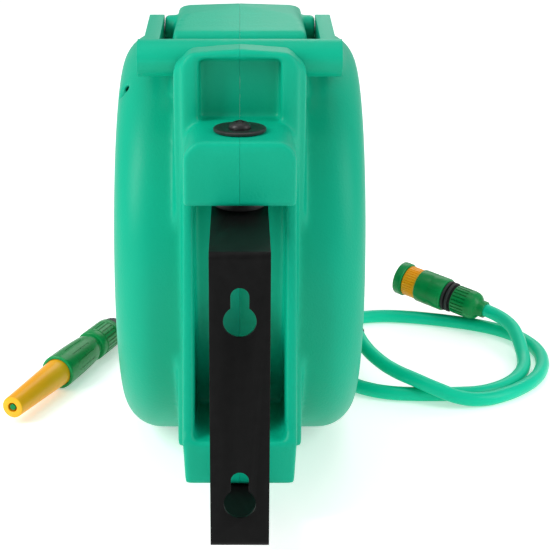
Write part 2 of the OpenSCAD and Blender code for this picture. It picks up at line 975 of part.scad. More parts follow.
module flange(x, bore_r) {
    groove_r = 2;
    color(inner_grey)
        difference() {
            axle_cylinder(x, x + flange_t, flange_r);
            axle_cylinder(x - cut, x + flange_t + cut, bore_r);
            for (a = [0:60:300])
                translate([x - cut, axle_y + 0.72 * flange_r * cos(a), axle_z + 0.72 * flange_r * sin(a)])
                    rotate([0, 90, 0])
                        cylinder(h = flange_t + 2 * cut, r = 9 * groove_r);
        }
}

module drum_left_flange() {
    flange(-flange_face, arbor_r + press);
}

module drum_right_flange() {
    flange(half_spool, inlet_r + 2);
}

module wound_hose() {
    color(hose_green)
        on_axle()
            rotate_extrude($fn = 96)
                for (i = [0:wound_turns - 1]) {
                    x = (i - (wound_turns - 1) / 2) * hose_d;
                    translate([pack_r - hose_r, x])
                        circle(r = hose_r, $fn = 24);
                    translate([core_r, x - hose_r])
                        square([pack_r - hose_r - core_r, hose_d]);
                }
}

module ratchet_wheel() {
    pitch = 360 / ratchet_teeth;
    outline = [
        for (i = [0:ratchet_teeth - 1]) each [
            ratchet_r * [cos(i * pitch), sin(i * pitch)],
            (ratchet_r - tooth_depth) * [cos((i + 0.15) * pitch), sin((i + 0.15) * pitch)]
        ]
    ];
    color(inner_grey)
        on_axle()
            translate([0, 0, flange_face])
                difference() {
                    linear_extrude(ratchet_t)
                        polygon(outline);
                    translate([0, 0, -cut])
                        cylinder(h = ratchet_t + 2 * cut, r = ratchet_r - 3 * tooth_depth);
                }
}

pawl_x = [flange_face + slide_gap, flange_face + slide_gap + ratchet_t];
pawl_pin_r = 3;
pawl_boss_r = 6;
pawl_fit = 0.05;
pawl_angle = 100;
pawl_pivot_y = axle_y + (ratchet_r + 26) * cos(pawl_angle);
pawl_pivot_z = axle_z + (ratchet_r + 26) * sin(pawl_angle);
pawl_tip = [axle_y, axle_z] + (ratchet_r + 1) * [cos(68), sin(68)];
pawl_heel = [axle_y, axle_z] + (ratchet_r + 9) * [cos(70), sin(70)];

module ratchet_pawl() {
    color(steel)
        difference() {
            union() {
                x_cylinder(pawl_x[0], pawl_x[1], pawl_pivot_y, pawl_pivot_z, pawl_boss_r);
                translate([(pawl_x[0] + pawl_x[1]) / 2, 0, 0])
                    across(ratchet_t)
                        polygon([
                            [pawl_pivot_y - 2, pawl_pivot_z - 4], pawl_tip, pawl_heel,
                            [pawl_pivot_y + 3, pawl_pivot_z + 5]
                        ]);
            }
            x_cylinder(pawl_x[0] - cut, pawl_x[1] + cut, pawl_pivot_y, pawl_pivot_z, pawl_pin_r + pawl_fit);
        }
}

module pawl_pivot() {
    color(steel)
        x_cylinder(pawl_x[0], inner_face, pawl_pivot_y, pawl_pivot_z, pawl_pin_r);
}

// ---- Rewind spring ----

module spring_arbor() {
    slot_w = 2;
    color(inner_grey)
        difference() {
            axle_cylinder(-arbor_end, -half_spool, arbor_r);
            axle_cylinder(-arbor_end - cut, cut - half_spool, axle_r + drum_clearance);
            box(
                [-arbor_end - cut, axle_y - slot_w / 2, axle_z + axle_r + 2],
                [-spring_cover_face - 2, axle_y + slot_w / 2, axle_z + arbor_r + cut]
            );
        }
}

module spring_housing() {
    color(inner_grey)
        difference() {
            axle_cylinder(-inner_face, -spring_cover_face - spring_cover_t, spring_case_r);
            axle_cylinder(
                spring_case_wall - inner_face, -spring_cover_face, spring_case_r - spring_case_wall
            );
            axle_cylinder(-inner_face - cut, spring_case_wall - inner_face + cut, arbor_r - 1 + press);
        }
}

module spring_cover() {
    color(inner_grey)
        difference() {
            axle_cylinder(-spring_cover_face - spring_cover_t, -spring_cover_face, spring_case_r);
            axle_cylinder(-spring_cover_face - 2 * cut - spring_cover_t, cut, arbor_r + 2);
        }
}

module rewind_spring() {
    first_r = arbor_r + 1.5;
    last_r = spring_case_r - spring_case_wall - spring_t - 0.4;
    steps = spring_turns * 20;
    spiral = [
        for (i = [0:steps]) let (a = 360 * spring_turns * i / steps, r = first_r + (last_r - first_r) * i / steps)
            [a, r]
    ];
    outline = concat(
        [for (p = spiral) p[1] * [cos(p[0]), sin(p[0])]],
        [for (i = [steps:-1:0]) (spiral[i][1] + spring_t) * [cos(spiral[i][0]), sin(spiral[i][0])]]
    );
    strip_gap = 1;
    color(steel)
        on_axle()
            translate([0, 0, spring_case_wall + strip_gap - inner_face])
                linear_extrude(inner_face - spring_case_wall - spring_cover_face - spring_cover_t - 2 * strip_gap)
                    polygon(outline);
}

// ---- Hose mouth ----

module mouth_frame() {
    half = frame_w / 2;
    corner = 6;
    outline = concat(
        arc([half - corner, half - corner], corner, 0, 90, 6),
        arc([corner - half, half - corner], corner, 90, 180, 6),
        arc([corner - half, corner - half], corner, 180, 270, 6),
        arc([half - corner, corner - half], corner, 270, 360, 6)
    );
    color(rubber_black)
        difference() {
            translate([0, frame_face_y, mouth_z])
                rotate([90, 0, 0])
                    linear_extrude(frame_depth)
                        difference() {
                            polygon(outline);
                            square(window, center = true);
                        }
            at_roller_pins()
                cylinder(h = roller_pin_l, r = roller_pin_d / 2, center = true);
        }
}

roller_pin_l = window + 12;

module at_roller_pins() {
    for (side = [-1, 1]) {
        translate([0, first_row_y, mouth_z + side * roller_off])
            rotate([0, 90, 0])
                children();
        translate([side * roller_off, second_row_y, mouth_z])
            children();
    }
}

module roller_pins() {
    color(steel)
        at_roller_pins()
            cylinder(h = roller_pin_l, r = roller_pin_d / 2, center = true);
}

module roller() {
    color(inner_grey)
        difference() {
            cylinder(h = roller_l, r = roller_r, center = true);
            cylinder(h = roller_l + cut, r = roller_pin_d / 2 + roller_clearance, center = true);
        }
}

module lying_roller(side) {
    translate([0, first_row_y, mouth_z + side * roller_off])
        rotate([0, 90, 0])
            roller();
}

module standing_roller(side) {
    translate([side * roller_off, second_row_y, mouth_z])
        roller();
}

module roller_top() {
    lying_roller(1);
}

module roller_bottom() {
    lying_roller(-1);
}

module roller_left() {
    standing_roller(-1);
}

module roller_right() {
    standing_roller(1);
}

module hose_run() {
    color(hose_green)
        translate([0, axle_y, mouth_z])
            rotate([-90, 0, 0])
                cylinder(h = frame_face_y - axle_y, r = hose_r);
}

module outlet_hose() {
    color(hose_green)
        hose(outlet_route, hose_r);
}

module hose_stop() {
    groove = 1.5;
    stop_at = outlet_route[1];
    color(rubber_black)
        translate(stop_at)
            difference() {
                sphere(r = stop_r);
                rotate([90, 0, 0])
                    cylinder(h = 3 * stop_r, r = hose_r + turn_fit, center = true);
                rotate([90, 0, 0])
                    difference() {
                        cylinder(h = groove, r = stop_r + cut, center = true);
                        cylinder(h = 2 * groove, r = stop_r - groove, center = true);
                    }
            }
}

// ---- Nozzle on the outlet hose ----

module on_nozzle() {
    along(nozzle_end, nozzle_start)
        children();
}

module nozzle_barrel() {
    tip_r = nozzle_tip_d / 2;
    lip = 1.5;
    color(fitting_yellow)
        on_nozzle()
            difference() {
                union() {
                    cylinder(h = lip, r1 = tip_r - lip, r2 = tip_r);
                    translate([0, 0, lip])
                        cylinder(h = nozzle_rim - 6 - lip, r1 = tip_r, r2 = barrel_rear_r);
                    translate([0, 0, nozzle_rim - 6])
                        cylinder(h = barrel_l - nozzle_rim + 6, r = barrel_rear_r);
                }
                translate([0, 0, -cut])
                    cylinder(h = 10, r = jet_d / 2);
                translate([0, 0, 6])
                    cylinder(h = nozzle_spigot_tip - 6, r = jet_d / 2 + 2);
                translate([0, 0, nozzle_spigot_tip - 2])
                    cylinder(h = barrel_l, r = nozzle_spigot_r + turn_fit);
            }
}

module nozzle_body() {
    rim_r = nozzle_d / 2;
    tail_r = rim_r - 1.6;
    waist_r = 12.5;
    cup_l = 14;
    tail_spigot_r = 8;
    color(fitting_green)
        on_nozzle() {
            difference() {
                union() {
                    translate([0, 0, nozzle_rim])
                        cylinder(h = 3, r = rim_r);
                    translate([0, 0, nozzle_rim + 3])
                        cylinder(h = nozzle_body_end - nozzle_rim - 3, r1 = rim_r, r2 = tail_r);
                    translate([0, 0, nozzle_body_end])
                        cylinder(h = waist_end - nozzle_body_end - slide_gap, r = waist_r);
                }
                translate([0, 0, nozzle_rim - cut])
                    cylinder(h = cup_l + cut, r = barrel_rear_r + 2 * slide_gap);
            }
            translate([0, 0, nozzle_spigot_tip])
                cylinder(h = nozzle_body_end - nozzle_spigot_tip, r = nozzle_spigot_r);
            translate([0, 0, waist_end - 1])
                cylinder(h = 20, r = tail_spigot_r);
        }
}

module nozzle_stem() {
    stem_r = 2.8;
    color(fitting_green)
        on_nozzle()
            translate([0, 0, 2])
                cylinder(h = nozzle_spigot_tip - 2, r = stem_r);
}

module nozzle_connector() {
    r = 15.2;
    socket_r = 8 + turn_fit;
    color(fitting_green)
        on_nozzle()
            difference() {
                union() {
                    translate([0, 0, waist_end])
                        cylinder(h = 6, r1 = r - 2.5, r2 = r);
                    translate([0, 0, waist_end + 6])
                        cylinder(h = nozzle_connector_end - waist_end - 12, r = r);
                    translate([0, 0, nozzle_connector_end - 6])
                        cylinder(h = 6, r1 = r, r2 = r - 1.5);
                }
                translate([0, 0, waist_end - cut])
                    cylinder(h = 22, r = socket_r);
            }
}

module nozzle_nut() {
    r = 13.4;
    color(rubber_black)
        on_nozzle()
            difference() {
                translate([0, 0, nozzle_connector_end])
                    cylinder(h = nozzle_l - nozzle_connector_end, r1 = r, r2 = r - 3);
                for (a = [0:30:330])
                    rotate([0, 0, a])
                        translate([r, 0, nozzle_connector_end - cut])
                            cylinder(h = nozzle_l, r = 1);
            }
}

// ---- Tap connector on the lead hose ----

module lead_hose() {
    color(hose_green)
        hose(lead_route, hose_r);
}

module on_connector(s = 0) {
    along(connector_start, connector_end)
        translate([0, 0, s])
            children();
}

module connector_nut() {
    nut_r = connector_nut_d / 2;
    sleeve_r = hose_r + 2;
    dome_start = 7;
    ribs_start = 18;
    color(fitting_green)
        on_connector()
            difference() {
                union() {
                    cylinder(h = dome_start, r = sleeve_r);
                    translate([0, 0, dome_start])
                        cylinder(h = ribs_start - dome_start, r1 = sleeve_r + 1, r2 = nut_r);
                    translate([0, 0, ribs_start])
                        cylinder(h = nut_end - ribs_start, r = nut_r);
                }
                for (i = [0:rib_count - 1])
                    rotate([0, 0, i * 360 / rib_count])
                        translate([nut_r, 0, ribs_start + 1.5])
                            cylinder(h = nut_end, r = 0.9);
            }
}

module connector_seals() {
    ring_r = connector_nut_d / 2 + 0.8;
    groove = 1.2;
    color(rubber_black)
        on_connector(nut_end)
            difference() {
                cylinder(h = seals_end - nut_end, r = ring_r);
                for (s = [2.5, 7])
                    translate([0, 0, s])
                        difference() {
                            cylinder(h = groove, r = ring_r + cut);
                            translate([0, 0, -cut])
                                cylinder(h = groove + 2 * cut, r = ring_r - groove);
                        }
            }
}

module connector_body() {
    r = connector_d / 2;
    color(fitting_green)
        difference() {
            union() {
                on_connector(seals_end)
                    cylinder(h = 4, r1 = r - 1.5, r2 = r);
                on_connector(seals_end + 4)
                    cylinder(h = body_end - seals_end - 4, r = r);
            }
            on_connector(collar_back - collar_travel - slide_gap)
                cylinder(h = body_end, r = collar_r + slide_gap);
        }
    color(fitting_green)
        difference() {
            on_connector(collar_back - collar_travel - 1)
                cylinder(h = collar_end - collar_back + collar_travel + 1, r = collar_core_r);
            on_connector(collar_back - collar_travel)
                cylinder(h = far, r = spigot_r + turn_fit);
        }
}

module connector_collar() {
    color(fitting_yellow)
        difference() {
            on_connector(collar_back)
                cylinder(h = collar_end - collar_back, r = collar_r);
            on_connector(collar_back - cut)
                cylinder(h = far, r = collar_core_r + slide_gap);
            for (i = [0:rib_count - 1])
                on_connector(body_end)
                    rotate([0, 0, i * 360 / rib_count])
                        translate([collar_r, 0, 0])
                            cylinder(h = collar_end, r = 0.6);
        }
}

module tap_adaptor() {
    bore_r = 6;
    color(fitting_green)
        difference() {
            union() {
                on_connector(collar_end + slide_gap)
                    cylinder(h = connector_l - collar_end - slide_gap, r = adaptor_r);
                on_connector(collar_back - collar_travel + slide_gap)
                    cylinder(h = collar_end - collar_back + collar_travel, r = spigot_r);
            }
            on_connector(collar_back - 2 * collar_travel)
                cylinder(h = far, r = bore_r);
            on_connector(connector_l - tap_thread_l)
                cylinder(h = far, r = tap_thread_r);
        }
}

wall_bracket();
upper_pivot_screw();
pivot_washer();
upper_pivot_nut();
lower_pivot_pin();
left_shell();
right_shell();
shell_screws();
upper_swivel_bush();
lower_swivel_bush();
handle_pivot_pins();
carry_handle();
axle();
inlet_axle();
union_seals();
inlet_elbow();
inner_lead_hose();
lead_elbow();
lead_relief();
drum_core();
drum_left_flange();
drum_right_flange();
wound_hose();
feed_spigot();
ratchet_wheel();
ratchet_pawl();
pawl_pivot();
spring_arbor();
spring_housing();
spring_cover();
rewind_spring();
mouth_frame();
roller_pins();
roller_top();
roller_bottom();
roller_left();
roller_right();
hose_run();
outlet_hose();
hose_stop();
nozzle_barrel();
nozzle_body();
nozzle_stem();
nozzle_connector();
nozzle_nut();
lead_hose();
connector_nut();
connector_seals();
connector_body();
connector_collar();
tap_adaptor();
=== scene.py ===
import json
import math

import bpy
from mathutils import Matrix, Vector

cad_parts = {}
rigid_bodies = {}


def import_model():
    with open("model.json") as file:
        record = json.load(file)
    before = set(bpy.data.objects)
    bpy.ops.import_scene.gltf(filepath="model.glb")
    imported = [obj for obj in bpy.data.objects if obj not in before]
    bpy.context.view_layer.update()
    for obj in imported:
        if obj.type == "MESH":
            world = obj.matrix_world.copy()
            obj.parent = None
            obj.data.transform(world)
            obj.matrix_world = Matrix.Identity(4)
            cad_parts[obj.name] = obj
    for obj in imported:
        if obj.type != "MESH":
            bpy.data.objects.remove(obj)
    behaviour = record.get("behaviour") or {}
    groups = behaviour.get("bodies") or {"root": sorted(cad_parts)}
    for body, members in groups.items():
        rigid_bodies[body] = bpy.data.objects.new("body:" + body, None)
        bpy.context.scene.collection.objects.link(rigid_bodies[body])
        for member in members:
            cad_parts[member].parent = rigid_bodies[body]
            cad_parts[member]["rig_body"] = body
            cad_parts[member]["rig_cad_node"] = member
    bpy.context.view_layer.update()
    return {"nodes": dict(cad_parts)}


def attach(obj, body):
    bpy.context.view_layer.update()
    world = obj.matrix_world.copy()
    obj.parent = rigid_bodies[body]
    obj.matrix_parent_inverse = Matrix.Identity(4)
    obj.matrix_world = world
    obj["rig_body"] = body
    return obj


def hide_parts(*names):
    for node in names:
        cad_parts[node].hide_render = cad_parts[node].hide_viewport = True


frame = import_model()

mm = 0.001
nodes = frame["nodes"]


def point(x, y, z):
    return Vector((x * mm, y * mm, z * mm))


# camera, floor and light
studio = {
    "cameraAt": (0, -950, 423),
    "cameraTilt": 19,
    "lens": 97.8,
    "sensor": 36,
    "shift": 0.064,
    "farthest": 60,
    "floorHeight": -145.2,
    "floorSize": 24,
    "floorColour": (0.93, 0.935, 0.93, 1),
    "floorRoughness": 0.9,
    "floorGlow": 0.42,
    "roomColour": (1, 1, 1, 1),
    "roomStrength": 0.5,
    # name, place in metres, aim in metres, width, height, watts
    "lamps": [
        ("keyLamp", (-1.9, -0.7, 1.5), (0, 0.25, 0), 0.8, 1.6, 50),
        ("fillLamp", (2.0, -0.5, 1.0), (0, 0.3, 0), 0.9, 1.8, 22),
        ("topLamp", (0, 0.2, 2.3), (0, 0.3, 0), 1.6, 1.2, 9),
        ("backLamp", (0.6, 2.3, 1.4), (0, 0.35, 0), 1.4, 1.2, 10),
    ],
}


def makeStudio():
    bpy.ops.object.camera_add(location=point(*studio["cameraAt"]))
    camera = bpy.context.object
    camera.rotation_euler = (math.radians(90 - studio["cameraTilt"]), 0, 0)
    camera.data.lens = studio["lens"]
    camera.data.sensor_width = studio["sensor"]
    camera.data.shift_x = studio["shift"]
    camera.data.clip_end = studio["farthest"]
    bpy.context.scene.camera = camera

    for name, place, aim, width, height, watts in studio["lamps"]:
        bpy.ops.object.light_add(type="AREA", location=place)
        lamp = bpy.context.object
        lamp.name = name
        lamp.data.shape = "RECTANGLE"
        lamp.data.size = width
        lamp.data.size_y = height
        lamp.data.energy = watts
        towards = Vector(aim) - Vector(place)
        lamp.rotation_euler = towards.to_track_quat("-Z", "Y").to_euler()

    bpy.ops.mesh.primitive_plane_add(size=studio["floorSize"], location=(0, 0, studio["floorHeight"] * mm))
    floor = bpy.context.object
    floor.name = "studioFloor"
    paint = bpy.data.materials.new("paleFloor")
    paint.use_nodes = True
    shader = paint.node_tree.nodes["Principled BSDF"]
    shader.inputs["Base Color"].default_value = studio["floorColour"]
    shader.inputs["Roughness"].default_value = studio["floorRoughness"]
    shader.inputs["Emission Color"].default_value = studio["floorColour"]
    shader.inputs["Emission Strength"].default_value = studio["floorGlow"]
    floor.data.materials.append(paint)

    room = bpy.data.worlds.new("studioRoom")
    bpy.context.scene.world = room
    room.use_nodes = True
    backdrop = room.node_tree.nodes["Background"]
    backdrop.inputs["Color"].default_value = studio["roomColour"]
    backdrop.inputs["Strength"].default_value = studio["roomStrength"]
    bpy.context.scene.view_settings.view_transform = "Standard"


makeStudio()
print("studio ready")


# shared shader effects
def newGroup(name, inputs, outputs):
    group = bpy.data.node_groups.new(name, "ShaderNodeTree")
    for label, kind, value in inputs:
        socket = group.interface.new_socket(label, in_out="INPUT", socket_type=kind)
        socket.default_value = value
    for label, kind in outputs:
        group.interface.new_socket(label, in_out="OUTPUT", socket_type=kind)
    start = group.nodes.new("NodeGroupInput")
    end = group.nodes.new("NodeGroupOutput")
    return group, start, end


def addNode(tree, kind, settings=None, values=None):
    node = tree.nodes.new(kind)
    for key, value in (settings or {}).items():
        setattr(node, key, value)
    for key, value in (values or {}).items():
        node.inputs[key].default_value = value
    return node


# the fine pebbled skin of a moulded part: raised grain, and slow waves from the cooling of the wall
def makeMouldedGrain():
    group, start, end = newGroup(
        "mouldedGrain",
        [
            ("Size", "NodeSocketFloat", 900),
            ("Wave", "NodeSocketFloat", 14),
        ],
        [("Height", "NodeSocketFloat"), ("Patch", "NodeSocketFloat")],
    )
    place = addNode(group, "ShaderNodeTexCoord")
    pebbles = addNode(group, "ShaderNodeTexVoronoi", {"feature": "SMOOTH_F1"}, {"Smoothness": 0.6})
    speckle = addNode(group, "ShaderNodeTexNoise", None, {"Detail": 3, "Roughness": 0.6})
    waves = addNode(group, "ShaderNodeTexNoise", None, {"Detail": 2, "Roughness": 0.5})
    pebbleShare = 0.6
    mix = addNode(group, "ShaderNodeMath", {"operation": "MULTIPLY_ADD"}, {1: pebbleShare})
    for texture in (pebbles, speckle, waves):
        group.links.new(place.outputs["Object"], texture.inputs["Vector"])
    group.links.new(start.outputs["Size"], pebbles.inputs["Scale"])
    group.links.new(start.outputs["Size"], speckle.inputs["Scale"])
    group.links.new(start.outputs["Wave"], waves.inputs["Scale"])
    group.links.new(pebbles.outputs["Distance"], mix.inputs[0])
    group.links.new(speckle.outputs["Fac"], mix.inputs[2])
    group.links.new(mix.outputs[0], end.inputs["Height"])
    group.links.new(waves.outputs["Fac"], end.inputs["Patch"])
    return group


# handling marks: short thin scratches that wander, masked so that most of the surface is clean
def makeScuffs():
    group, start, end = newGroup(
        "scuffs",
        [("Size", "NodeSocketFloat", 60), ("Amount", "NodeSocketFloat", 0.4)],
        [("Mask", "NodeSocketFloat")],
    )
    place = addNode(group, "ShaderNodeTexCoord")
    stretch = addNode(group, "ShaderNodeMapping", None, {"Scale": (1, 9, 1.6), "Rotation": (0.5, 0.3, 0.8)})
    lines = addNode(group, "ShaderNodeTexNoise", None, {"Detail": 4, "Roughness": 0.7, "Distortion": 0.6})
    sharp = addNode(group, "ShaderNodeMapRange", None, {"From Min": 0.63, "From Max": 0.7})
    where = addNode(group, "ShaderNodeTexNoise", None, {"Scale": 9, "Detail": 1})
    patch = addNode(group, "ShaderNodeMapRange", None, {"From Min": 0.5, "From Max": 0.68})
    both = addNode(group, "ShaderNodeMath", {"operation": "MULTIPLY"})
    scaled = addNode(group, "ShaderNodeMath", {"operation": "MULTIPLY"})
    group.links.new(place.outputs["Object"], stretch.inputs["Vector"])
    group.links.new(stretch.outputs["Vector"], lines.inputs["Vector"])
    group.links.new(place.outputs["Object"], where.inputs["Vector"])
    group.links.new(start.outputs["Size"], lines.inputs["Scale"])
    group.links.new(lines.outputs["Fac"], sharp.inputs["Value"])
    group.links.new(where.outputs["Fac"], patch.inputs["Value"])
    group.links.new(sharp.outputs["Result"], both.inputs[0])
    group.links.new(patch.outputs["Result"], both.inputs[1])
    group.links.new(both.outputs[0], scaled.inputs[0])
    group.links.new(start.outputs["Amount"], scaled.inputs[1])
    group.links.new(scaled.outputs[0], end.inputs["Mask"])
    return group


# painted highlight: paler or brighter corners, where light catches the rounded rims
def makePaintedEdgeHighlight():
    group, start, end = newGroup(
        "paintedEdgeHighlight",
        [("Low", "NodeSocketFloat", 0.51), ("High", "NodeSocketFloat", 0.57)],
        [("Mask", "NodeSocketFloat")],
    )
    shape = addNode(group, "ShaderNodeNewGeometry")
    place = addNode(group, "ShaderNodeTexCoord")
    breakUp = addNode(group, "ShaderNodeTexNoise", None, {"Scale": 120, "Detail": 3})
    ramp = addNode(group, "ShaderNodeMapRange")
    rough = addNode(group, "ShaderNodeMath", {"operation": "MULTIPLY"})
    group.links.new(place.outputs["Object"], breakUp.inputs["Vector"])
    group.links.new(shape.outputs["Pointiness"], ramp.inputs["Value"])
    group.links.new(start.outputs["Low"], ramp.inputs["From Min"])
    group.links.new(start.outputs["High"], ramp.inputs["From Max"])
    group.links.new(ramp.outputs["Result"], rough.inputs[0])
    group.links.new(breakUp.outputs["Fac"], rough.inputs[1])
    group.links.new(rough.outputs[0], end.inputs["Mask"])
    return group


mouldedGrain = makeMouldedGrain()
scuffs = makeScuffs()
paintedEdgeHighlight = makePaintedEdgeHighlight()

# colours: main, slow patches and painted edge highlights; rough: its range; depth: height of the grain in
# metres
finishes = {
    "casePlastic": {
        "slot": "case_plastic", "colour": (0.0004, 0.345, 0.205), "patch": (0.0006, 0.375, 0.225),
        "edge": (0.002, 0.41, 0.255), "rough": (0.36, 0.46), "grain": 560, "depth": 0.0002, "bump": 0.6,
        "wave": 12, "scuff": 0.22, "metal": 0, "specular": 0.14,
    },
    "hosePvc": {
        "slot": "hose_pvc", "colour": (0.0005, 0.56, 0.33), "patch": (0.0005, 0.64, 0.385),
        "edge": (0.01, 0.58, 0.36), "rough": (0.26, 0.36), "grain": 260, "depth": 0.00006, "bump": 0.25,
        "wave": 30, "scuff": 0.12, "metal": 0, "specular": 0.16,
    },
    "fittingGreen": {
        "slot": "fitting_green", "colour": (0.001, 0.20, 0.046), "patch": (0.0015, 0.235, 0.056),
        "edge": (0.01, 0.36, 0.11), "rough": (0.22, 0.32), "grain": 420, "depth": 0.00004, "bump": 0.2,
        "wave": 40, "scuff": 0.25, "metal": 0, "specular": 0.2,
    },
    "fittingYellow": {
        "slot": "fitting_yellow", "colour": (0.92, 0.34, 0.001), "patch": (0.98, 0.40, 0.002),
        "edge": (0.95, 0.58, 0.05), "rough": (0.24, 0.34), "grain": 420, "depth": 0.00004, "bump": 0.2,
        "wave": 40, "scuff": 0.2, "metal": 0, "specular": 0.2,
    },
    "strapPaint": {
        "slot": "strap_paint", "colour": (0.0018, 0.0019, 0.0019), "patch": (0.0028, 0.0028, 0.0029),
        "edge": (0.012, 0.012, 0.012), "rough": (0.34, 0.46), "grain": 1500, "depth": 0.00004, "bump": 0.5,
        "wave": 20, "scuff": 0.35, "metal": 0, "specular": 0.06,
    },
    "blackPlastic": {
        "slot": "black_plastic", "colour": (0.005, 0.005, 0.0052), "patch": (0.008, 0.008, 0.0082),
        "edge": (0.04, 0.04, 0.04), "rough": (0.34, 0.46), "grain": 900, "depth": 0.00005, "bump": 0.35,
        "wave": 30, "scuff": 0.3, "metal": 0, "specular": 0.35,
    },
    "blackRubber": {
        "slot": "rubber", "colour": (0.012, 0.012, 0.013), "patch": (0.020, 0.020, 0.020),
        "edge": (0.05, 0.05, 0.05), "rough": (0.6, 0.75), "grain": 700, "depth": 0.00008, "bump": 0.4,
        "wave": 50, "scuff": 0.2, "metal": 0, "specular": 0.3,
    },
    "zincSteel": {
        "slot": "steel", "colour": (0.55, 0.56, 0.58), "patch": (0.46, 0.47, 0.50),
        "edge": (0.8, 0.8, 0.8), "rough": (0.25, 0.42), "grain": 500, "depth": 0.00002, "bump": 0.2,
        "wave": 60, "scuff": 0.6, "metal": 1, "specular": 0.5,
    },
    "bluedSpring": {
        "slot": "spring_steel", "colour": (0.20, 0.23, 0.32), "patch": (0.26, 0.24, 0.28),
        "edge": (0.6, 0.6, 0.62), "rough": (0.25, 0.4), "grain": 500, "depth": 0.00002, "bump": 0.2,
        "wave": 25, "scuff": 0.5, "metal": 1, "specular": 0.5,
    },
    "innerPlastic": {
        "slot": "inner_plastic", "colour": (0.07, 0.08, 0.09), "patch": (0.09, 0.10, 0.11),
        "edge": (0.2, 0.2, 0.2), "rough": (0.4, 0.5), "grain": 600, "depth": 0.00006, "bump": 0.35,
        "wave": 20, "scuff": 0.3, "metal": 0, "specular": 0.5,
    },
}


scuffRoughness = 0.35  # what a full scratch adds to the roughness


def opaque(colour):
    return (*colour, 1)


def makeFinish(name, look):
    material = bpy.data.materials.new(name)
    material.use_nodes = True
    tree = material.node_tree
    shader = tree.nodes["Principled BSDF"]
    shader.inputs["Metallic"].default_value = look["metal"]
    shader.inputs["Specular IOR Level"].default_value = look["specular"]
    material.diffuse_color = opaque(look["colour"])

    grain = addNode(tree, "ShaderNodeGroup", {"node_tree": mouldedGrain})
    grain.inputs["Size"].default_value = look["grain"]
    grain.inputs["Wave"].default_value = look["wave"]
    marks = addNode(tree, "ShaderNodeGroup", {"node_tree": scuffs})
    marks.inputs["Amount"].default_value = look["scuff"]
    # painted highlight: rounded edges, found by pointiness, take the paler edge colour
    edges = addNode(tree, "ShaderNodeGroup", {"node_tree": paintedEdgeHighlight})

    patchMix = addNode(tree, "ShaderNodeMix", {"data_type": "RGBA"})
    patchMix.inputs["A"].default_value = opaque(look["colour"])
    patchMix.inputs["B"].default_value = opaque(look["patch"])
    edgeHighlightMix = addNode(tree, "ShaderNodeMix", {"data_type": "RGBA"})
    edgeHighlightMix.inputs["B"].default_value = opaque(look["edge"])
    roughness = addNode(tree, "ShaderNodeMapRange")
    roughness.inputs["To Min"].default_value = look["rough"][0]
    roughness.inputs["To Max"].default_value = look["rough"][1]
    addUp = {"operation": "MULTIPLY_ADD", "use_clamp": True}
    scuffed = addNode(tree, "ShaderNodeMath", addUp, {1: scuffRoughness})
    bump = addNode(tree, "ShaderNodeBump")
    bump.inputs["Strength"].default_value = look["bump"]
    bump.inputs["Distance"].default_value = look["depth"]

    link = tree.links.new
    link(grain.outputs["Patch"], patchMix.inputs["Factor"])
    link(patchMix.outputs["Result"], edgeHighlightMix.inputs["A"])
    link(edges.outputs["Mask"], edgeHighlightMix.inputs["Factor"])
    link(edgeHighlightMix.outputs["Result"], shader.inputs["Base Color"])
    link(grain.outputs["Patch"], roughness.inputs["Value"])
    link(marks.outputs["Mask"], scuffed.inputs[0])
    link(roughness.outputs["Result"], scuffed.inputs[2])
    link(scuffed.outputs[0], shader.inputs["Roughness"])
    link(grain.outputs["Height"], bump.inputs["Height"])
    link(bump.outputs["Normal"], shader.inputs["Normal"])
    return material


materials = {name: makeFinish(name, look) for name, look in finishes.items()}
print("finishes ready")


# shared making steps
making = {"weld": 0.002, "flat": 0.5, "sharp": 38}  # mm between joined corners, degrees, degrees


def startFresh():
    if bpy.context.object and bpy.context.object.mode != "OBJECT":
        bpy.ops.object.mode_set(mode="OBJECT")
    bpy.ops.object.select_all(action="DESELECT")


def useOnly(piece):
    startFresh()
    piece.select_set(True)
    bpy.context.view_layer.objects.active = piece


def applyModifier(piece, kind, settings):
    useOnly(piece)
    modifier = piece.modifiers.new(kind.lower(), kind)
    for key, value in settings.items():
        setattr(modifier, key, value)
    bpy.ops.object.modifier_apply(modifier=modifier.name)


def smoothShade(piece, angle=making["sharp"]):
    useOnly(piece)
    bpy.ops.object.shade_smooth_by_angle(angle=math.radians(angle))


def finishPiece(piece, name, finish, body, replaced=()):
    useOnly(piece)
    bpy.ops.object.transform_apply(location=True, rotation=True, scale=True)
    piece.name = name
    piece.data.name = name
    piece.data.materials.clear()
    piece.data.materials.append(materials[finish])
    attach(piece, body)
    if replaced:
        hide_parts(*replaced)
    return piece


def copyOf(nodeName):
    startFresh()
    source = nodes[nodeName]
    source.select_set(True)
    bpy.context.view_layer.objects.active = source
    bpy.ops.object.duplicate()
    piece = bpy.context.object
    bpy.ops.object.parent_clear(type="CLEAR_KEEP_TRANSFORM")
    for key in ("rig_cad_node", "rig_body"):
        if key in piece:
            del piece[key]
    bpy.ops.object.mode_set(mode="EDIT")
    bpy.ops.mesh.select_all(action="SELECT")
    bpy.ops.mesh.remove_doubles(threshold=making["weld"] * mm)
    bpy.ops.object.mode_set(mode="OBJECT")
    return piece


